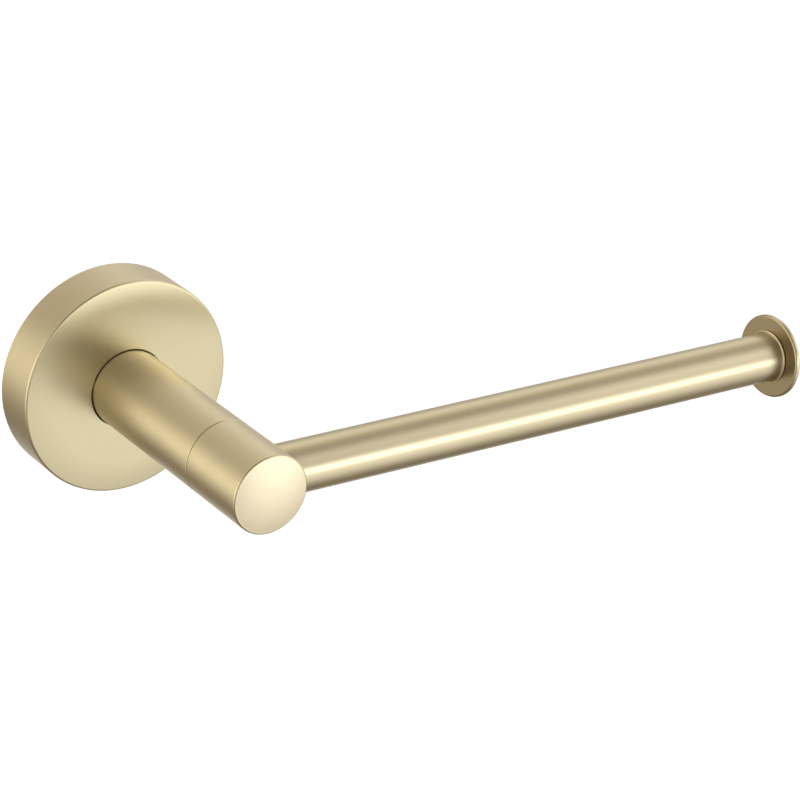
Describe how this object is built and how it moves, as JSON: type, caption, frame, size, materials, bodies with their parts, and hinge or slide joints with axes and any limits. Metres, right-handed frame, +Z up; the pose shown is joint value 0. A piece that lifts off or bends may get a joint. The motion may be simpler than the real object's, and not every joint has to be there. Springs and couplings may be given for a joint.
{
  "type": "toilet paper holder",
  "caption": "Wall-mounted toilet paper holder with a round cover, a round post and a straight arm that lifts, ending in a flat disc.",
  "frame": {"origin": "on the wall plane, at the post's axis", "axes": "+Y into the wall, so the post points along -Y; +X along the arm towards the end disc; +Z up"},
  "size_m": [0.1905, 0.0792, 0.056],
  "materials": {
    "satin_brass": "brushed satin, pale champagne gold",
    "turned_brass": "plain turned, uncoated",
    "screw_steel": "plain stainless",
    "cast_zinc": "die cast, matte",
    "bush_nylon": "moulded, natural",
    "ring_rubber": "matte black"
  },
  "bodies": {
    "base": {"wall_bracket": "cast_zinc", "bracket_o_ring": "ring_rubber", "post_sleeve": "satin_brass", "post_socket": "turned_brass", "post_set_screw": "screw_steel", "bearing_plug": "turned_brass", "front_bush": "bush_nylon", "rear_bush": "bush_nylon", "thrust_washer": "screw_steel", "stop_pin": "screw_steel"},
    "cover": {"wall_cover": "satin_brass"},
    "arm": {"pivot_head": "satin_brass", "pivot_bolt": "screw_steel", "disc_spring": "screw_steel", "arm_stud": "screw_steel", "arm_root_insert": "turned_brass", "arm_tube": "satin_brass", "arm_tip_insert": "turned_brass", "end_disc": "satin_brass"}
  },
  "joints": [
    {"name": "arm_pivot", "type": "hinge", "parent": "base", "child": "arm", "pos_m": [0, -0.045, 0], "axis": [0, -1, 0], "range_deg": [0, 90]},
    {"name": "cover_slide", "type": "slide", "parent": "base", "child": "cover", "axis": [0, -1, 0], "range_m": [0, 0.048]}
  ]
}
